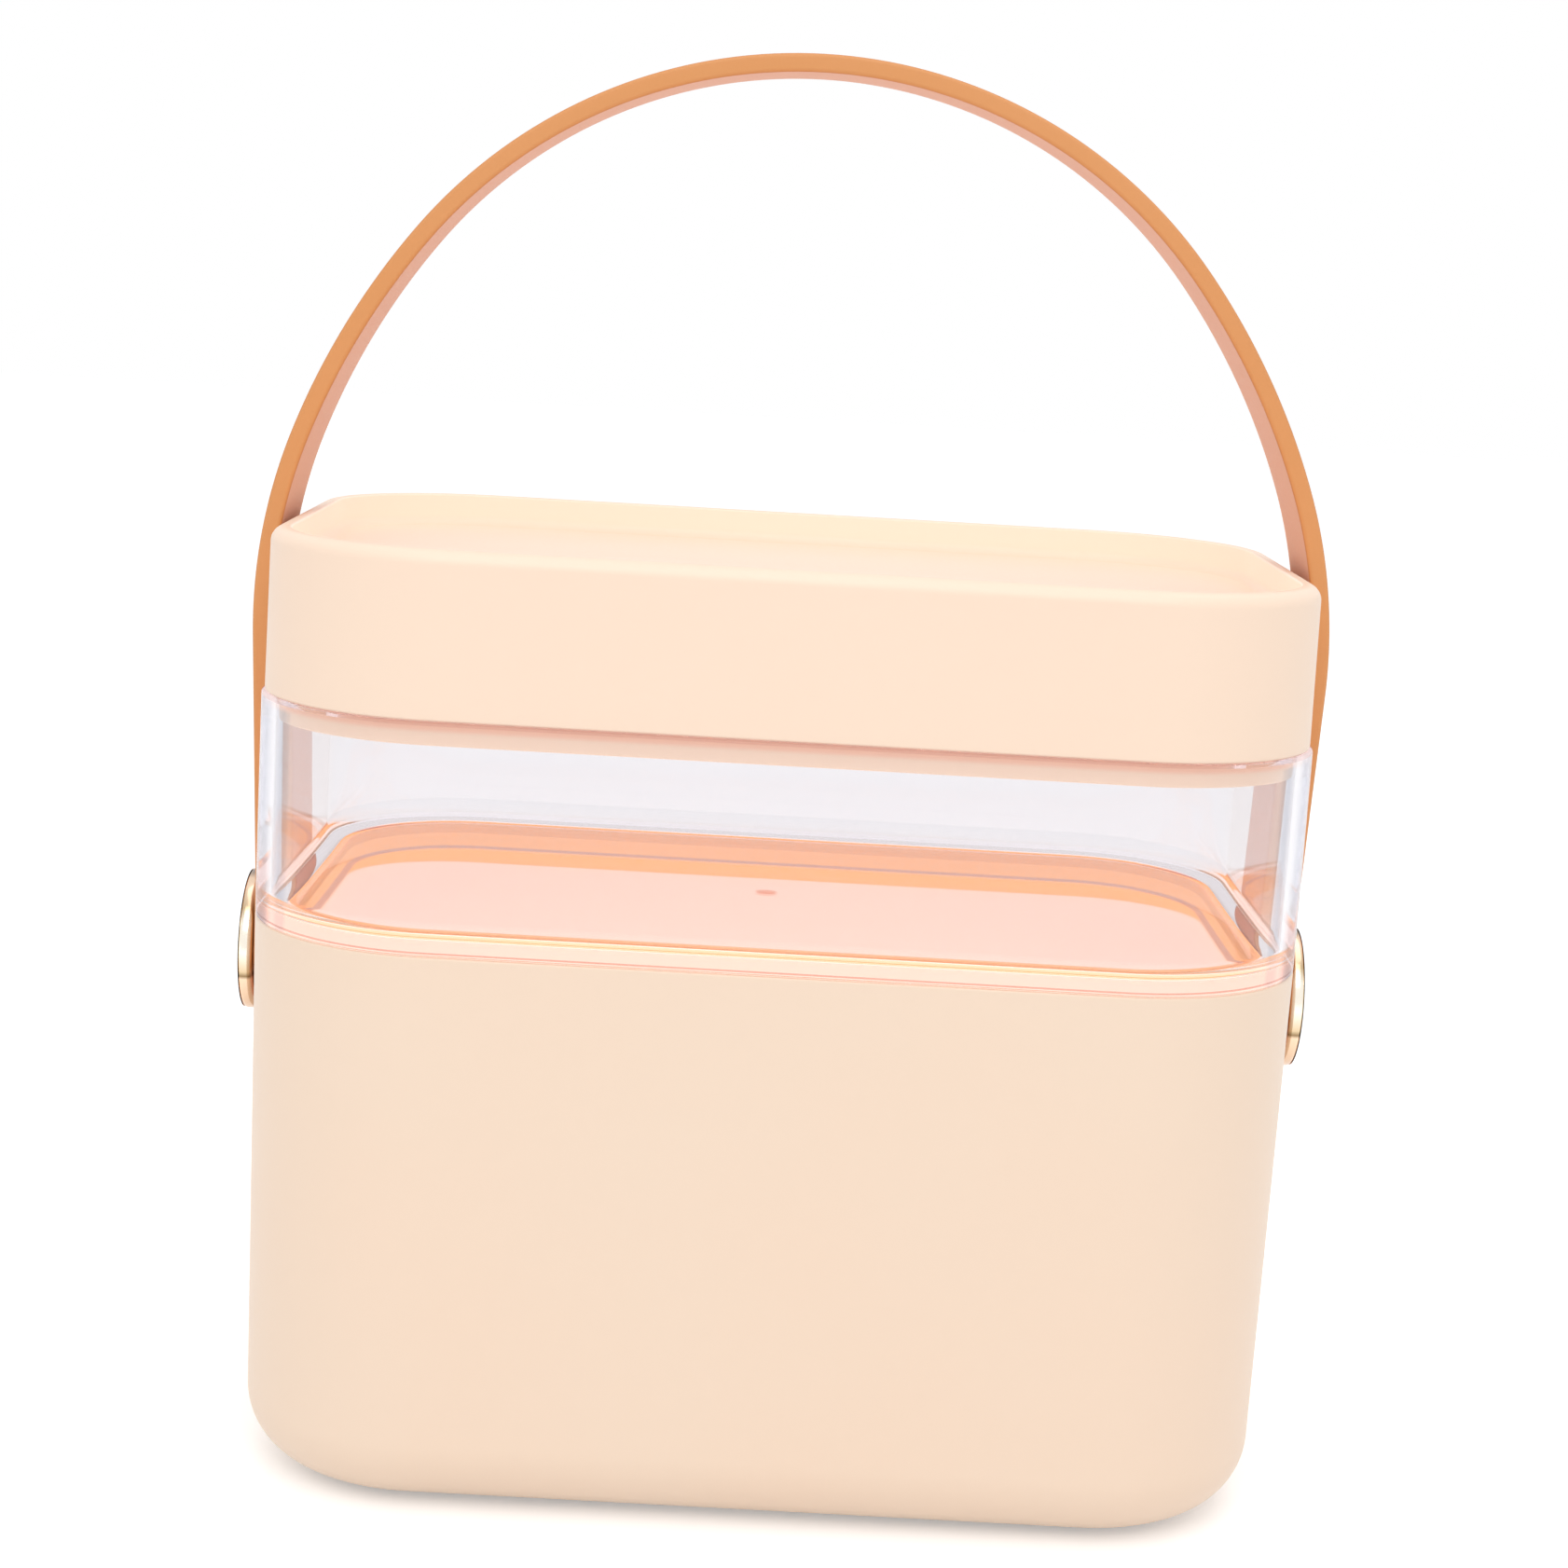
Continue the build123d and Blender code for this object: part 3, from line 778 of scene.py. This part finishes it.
# Painted glow: the liner gives out light, though it is no lamp.
painted_liner_glow = (1.0, 0.8, 0.64, 1)
painted_liner_glow_strength = 0.2

liner_plastic = grained_finish("liner_plastic", liner_colour, liner_tone, drift=0.5,
                               grain_size=1100.0, grain_depth=0.02 * mm,
                               rough_low=0.38, rough_high=0.48)
liner_shader = liner_plastic.node_tree.nodes["Principled BSDF"]
liner_shader.inputs["Emission Color"].default_value = painted_liner_glow
liner_shader.inputs["Emission Strength"].default_value = painted_liner_glow_strength

liner_piece = start_outline("lid_liner_moulding", plug_bottom, liner_inset)
lift_outline(liner_top - plug_bottom, 0)
round_loop(liner_top, liner_inset, liner_corner_radius, steps=6)
choose_face(plug_bottom, up=False)
bpy.ops.mesh.inset(thickness=liner_wall)
choose_face(plug_bottom, liner_inset + liner_wall, up=False)
sink(liner_top - plug_bottom - liner_plate)
round_loop(liner_top - liner_plate, liner_inset + liner_wall, liner_corner_radius, steps=6)
round_loop(plug_bottom, liner_inset, plug_round, steps=4)
round_loop(plug_bottom, liner_inset + liner_wall, plug_round, steps=4)
close_and_smooth(liner_piece)
liner_piece.data.materials.append(liner_plastic)
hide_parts("lid_liner")
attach(liner_piece, "lid_body")

# Handle: one flat strap of smooth tan leather board with a painted cut edge. It leans out
# a little past the clear tray, bends over the lid in a wide arch, and ends round.
stud_height = seam_height - 13.4 * mm
strap_width = 24.0 * mm
strap_thickness = 3.5 * mm
strap_outer_x = 103.636 * mm
strap_foot_top = stud_height + 15.0 * mm
strap_end_points = 96
flare_radius = 30.0 * mm
arm_lean = math.radians(2.2)
arm_length = 47.3 * mm
arm_steps = 6
shoulder_radius = 104.5 * mm
shoulder_turn = math.radians(20.3)
side_radius = 144.5 * mm
crown_radius = strap_outer_x - 5.9 * mm
strap_edge_round = 0.8 * mm
strap_edge_angle = math.radians(40)
strap_join_gap = 0.02 * mm
face_colour = (0.79, 0.43, 0.3, 1)
edge_colour = (0.75, 0.325, 0.115, 1)
# Painted shade: a thin darker line on the rounding where the face turns into the painted edge.
edge_shade_colour = (0.62, 0.23, 0.07, 1)
edge_bands = ((0.2, face_colour), (0.45, edge_shade_colour), (0.85, edge_colour))
edge_depth = 1.2 * mm
deeper_saturation = 1.05
deeper_value = 0.93

strap_leather, strap_tree, strap_shader = start_finish("strap_leather")
strap_axes = axes_of(strap_tree, object_place(strap_tree))
strap_off_middle = strap_tree.nodes.new("ShaderNodeMath")
strap_off_middle.operation = "ABSOLUTE"
strap_tree.links.new(strap_axes["Y"], strap_off_middle.inputs[0])
edge_run = spread(strap_tree, strap_off_middle.outputs[0], strap_width / 2 - edge_depth,
                  strap_width / 2)
strap_colour = colour_bands(strap_tree, edge_run, edge_bands)
strap_deeper = strap_tree.nodes.new("ShaderNodeHueSaturation")
strap_deeper.inputs["Saturation"].default_value = deeper_saturation
strap_deeper.inputs["Value"].default_value = deeper_value
strap_tree.links.new(strap_colour, strap_deeper.inputs["Color"])
strap_surface = grained(strap_tree, strap_colour, strap_deeper.outputs["Color"], drift=0.25,
                        grain_size=1400.0, drift_size=30.0)
grained_shader(strap_tree, strap_shader, strap_surface, grain_depth=0.05 * mm,
               grain_strength=0.5, rough_low=0.5, rough_high=0.64)

bpy.ops.object.select_all(action="DESELECT")
bpy.ops.mesh.primitive_circle_add(vertices=strap_end_points, radius=strap_width / 2,
                                  fill_type="NGON", location=(strap_outer_x, 0, stud_height),
                                  rotation=(0, math.pi / 2, 0))
strap_piece = bpy.context.object
strap_piece.name = "strap_handle"
bpy.ops.object.transform_apply(location=True, rotation=True, scale=True)
bpy.ops.object.mode_set(mode="EDIT")
bpy.ops.mesh.bisect(plane_co=(0, 0, stud_height), plane_no=(0, 0, 1), clear_outer=True)
choose("edges", lambda edge: all(abs(v.co.z - stud_height) < level_slack for v in edge.verts))
bpy.ops.mesh.extrude_region_move(
    TRANSFORM_OT_translate={"value": (0, 0, strap_foot_top - stud_height)})


def carry_round(centre_x, centre_z, turn, steps):
    """Carries the end of the strap round an arc that lies in the plane of the arch."""
    bpy.ops.mesh.spin(steps=steps, angle=turn, center=(centre_x, 0, centre_z), axis=(0, 1, 0))


across_arm = flare_radius + shoulder_radius
arm_run = arm_length * math.sin(arm_lean)
arm_rise = arm_length * math.cos(arm_lean)
shoulder_x = strap_outer_x + flare_radius - across_arm * math.cos(arm_lean) + arm_run
shoulder_z = strap_foot_top + across_arm * math.sin(arm_lean) + arm_rise
side_x = shoulder_x + (shoulder_radius - side_radius) * math.cos(shoulder_turn)
side_z = shoulder_z + (shoulder_radius - side_radius) * math.sin(shoulder_turn)
side_end_turn = math.acos(-side_x / (side_radius - crown_radius))
crown_z = side_z + (side_radius - crown_radius) * math.sin(side_end_turn)
carry_round(strap_outer_x + flare_radius, strap_foot_top, -arm_lean, steps=3)
for step in range(arm_steps):
    bpy.ops.mesh.extrude_region_move(
        TRANSFORM_OT_translate={"value": (arm_run / arm_steps, 0, arm_rise / arm_steps)})
carry_round(shoulder_x, shoulder_z, arm_lean + shoulder_turn, steps=20)
carry_round(side_x, side_z, side_end_turn - shoulder_turn, steps=24)
carry_round(0, crown_z, math.pi / 2 - side_end_turn, steps=36)
bpy.ops.object.mode_set(mode="OBJECT")
whole_arch = strap_piece.modifiers.new("whole_arch", "MIRROR")
whole_arch.merge_threshold = strap_join_gap
bpy.ops.object.modifier_apply(modifier=whole_arch.name)
bpy.ops.object.mode_set(mode="EDIT")
bpy.ops.mesh.select_all(action="SELECT")
bpy.ops.mesh.remove_doubles(threshold=strap_join_gap)
bpy.ops.mesh.normals_make_consistent(inside=False)
strap_faces = bmesh.from_edit_mesh(strap_piece.data).faces
strap_faces.ensure_lookup_table()
if strap_faces[0].normal.x * strap_faces[0].calc_center_median().x < 0:
    bpy.ops.mesh.flip_normals()
bpy.ops.object.mode_set(mode="OBJECT")
strap_body = strap_piece.modifiers.new("strap_body", "SOLIDIFY")
strap_body.thickness = strap_thickness
strap_body.offset = -1
strap_body.use_even_offset = True
bpy.ops.object.modifier_apply(modifier=strap_body.name)
soft_edges = strap_piece.modifiers.new("soft_edges", "BEVEL")
soft_edges.width = strap_edge_round
soft_edges.segments = 4
soft_edges.angle_limit = strap_edge_angle
bpy.ops.object.modifier_apply(modifier=soft_edges.name)
bpy.ops.object.mode_set(mode="EDIT")
close_and_smooth(strap_piece)
strap_piece.data.materials.append(strap_leather)
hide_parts("handle_strap")
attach(strap_piece, "handle_body")

# Studs: turned and polished pale gold caps with a low dome, one on each arm of the strap. Their
# colour runs up their height through painted reflections: dark tips, a warm floor below a dark
# horizon line, and a bright highlight.
# A boss behind each goes through the strap and is screwed to the bin from inside.
cap_base_x = strap_outer_x + 0.1 * mm
cap_radius = 14.2 * mm
cap_edge = 2.5 * mm
cap_rise = 1.2 * mm
cap_edge_round = 0.8 * mm
cap_points = 96
boss_radius = 4.0 * mm
boss_length = 4.1 * mm
dome_steps = 10
dome_sphere = (cap_radius**2 + cap_rise**2) / (2 * cap_rise)
dome_tip = 0.01 * mm
painted_gold_dark = (0.16, 0.1, 0.07, 1)
painted_gold_horizon = (0.3, 0.2, 0.1, 1)
painted_gold_below_horizon = (0.92, 0.7, 0.5, 1)
painted_gold_highlight = (0.97, 0.9, 0.78, 1)
# Painted reflections up the stud's height: dark tips, a warm floor, a dark horizon line and a
# bright highlight.
painted_gold_reflections = ((0.0, painted_gold_dark), (0.035, (0.72, 0.48, 0.32, 1)), (0.3, painted_gold_below_horizon),
                (0.325, painted_gold_horizon), (0.36, (0.75, 0.58, 0.36, 1)), (0.5, painted_gold_highlight),
                (0.7, painted_gold_highlight), (0.8, (0.62, 0.46, 0.28, 1)),
                (0.93, (0.92, 0.7, 0.52, 1)), (0.97, (0.85, 0.62, 0.45, 1)),
                (1.0, (0.12, 0.07, 0.05, 1)))
hair_size = 300.0
hair_detail = 2.0
gold_rough_low = 0.12
gold_rough_high = 0.22

stud_gold, gold_tree, gold_shader = start_finish("stud_gold")
gold_place = object_place(gold_tree)
gold_rise = spread(gold_tree, axes_of(gold_tree, gold_place)["Z"], stud_height - cap_radius,
                   stud_height + cap_radius)
gold_shader.inputs["Metallic"].default_value = 1.0
feed(gold_tree, gold_shader.inputs["Base Color"], colour_bands(gold_tree, gold_rise, painted_gold_reflections))
feed(gold_tree, gold_shader.inputs["Roughness"],
     spread(gold_tree, noise(gold_tree, gold_place, hair_size, hair_detail), 0, 1,
            gold_rough_low, gold_rough_high))

bpy.ops.object.select_all(action="DESELECT")
bpy.ops.mesh.primitive_cylinder_add(vertices=cap_points, radius=cap_radius, depth=cap_edge,
                                    rotation=(0, math.pi / 2, 0),
                                    location=(cap_base_x + cap_edge / 2, 0, stud_height))
stud_right = bpy.context.object
stud_right.name = "stud_right"
bpy.ops.object.transform_apply(location=True, rotation=True, scale=True)
bpy.ops.object.mode_set(mode="EDIT")
choose("faces", lambda face: face.normal.x > facing)
for step in range(dome_steps):
    outer = cap_radius * math.cos(step / dome_steps * math.pi / 2)
    inner = cap_radius * math.cos((step + 1) / dome_steps * math.pi / 2) + dome_tip
    rise = math.sqrt(dome_sphere**2 - inner**2) - math.sqrt(dome_sphere**2 - outer**2)
    bpy.ops.mesh.inset(thickness=outer - inner, depth=rise)
choose("faces", lambda face: face.normal.x < -facing)
bpy.ops.mesh.inset(thickness=cap_radius - boss_radius)
bpy.ops.mesh.extrude_region_move(TRANSFORM_OT_translate={"value": (-boss_length, 0, 0)})


def on_cap_edge(edge):
    """An edge of the outer rim of the cap, at either end of its straight side."""
    on_rim = all(abs(math.hypot(v.co.y, v.co.z - stud_height) - cap_radius) < height_slack
                 for v in edge.verts)
    return on_rim and abs(edge.verts[0].co.x - edge.verts[1].co.x) < level_slack


choose("edges", on_cap_edge)
bpy.ops.mesh.bevel(offset=cap_edge_round, segments=4, profile=round_profile, affect="EDGES",
                   clamp_overlap=False)
close_and_smooth(stud_right)
stud_right.data.materials.append(stud_gold)

stud_left = stud_right.copy()
stud_left.data = stud_right.data.copy()
stud_left.name = "stud_left"
bpy.context.scene.collection.objects.link(stud_left)
stud_left.data.transform(Matrix.Scale(-1, 4, (1, 0, 0)))
stud_left.data.flip_normals()
for stud, node in ((stud_right, "pivot_cap_right"), (stud_left, "pivot_cap_left")):
    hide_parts(node)
    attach(stud, "bin_body")

# Small parts that hold the studs: plain washers between strap and bin, and zinc-plated
# screws with their washers inside the bin. They keep the shapes they came with.
spacer_colour = (0.86, 0.8, 0.72, 1)
spacer_tone = (0.82, 0.76, 0.68, 1)
steel_colour = (0.62, 0.62, 0.63, 1)
steel_tone = (0.5, 0.5, 0.52, 1)


def finish_nodes(starts, finish):
    """Gives a finish to the CAD nodes whose names start in one of these ways."""
    for name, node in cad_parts.items():
        if name.startswith(starts):
            node.data.materials.clear()
            node.data.materials.append(finish)


spacer_plastic = grained_finish("spacer_plastic", spacer_colour, spacer_tone, drift=0.6,
                                grain_size=1500.0, grain_depth=0.02 * mm,
                                rough_low=0.45, rough_high=0.6)
screw_steel = grained_finish("screw_steel", steel_colour, steel_tone, drift=0.7,
                             grain_size=2200.0, grain_depth=0.01 * mm,
                             rough_low=0.25, rough_high=0.42)
screw_steel.node_tree.nodes["Principled BSDF"].inputs["Metallic"].default_value = 1.0
finish_nodes("strap_spacer", spacer_plastic)
finish_nodes(("pivot_screw", "screw_washer"), screw_steel)

# Foot pads: four soft pale discs let into the underside of the bin, that it stands on.
# They keep the shapes they came with.
pad_colour = (0.72, 0.68, 0.62, 1)
pad_tone = (0.66, 0.61, 0.55, 1)

pad_rubber = grained_finish("pad_rubber", pad_colour, pad_tone, drift=0.8, grain_size=1300.0,
                            grain_depth=0.06 * mm, rough_low=0.7, rough_high=0.85)
finish_nodes("foot_pad", pad_rubber)
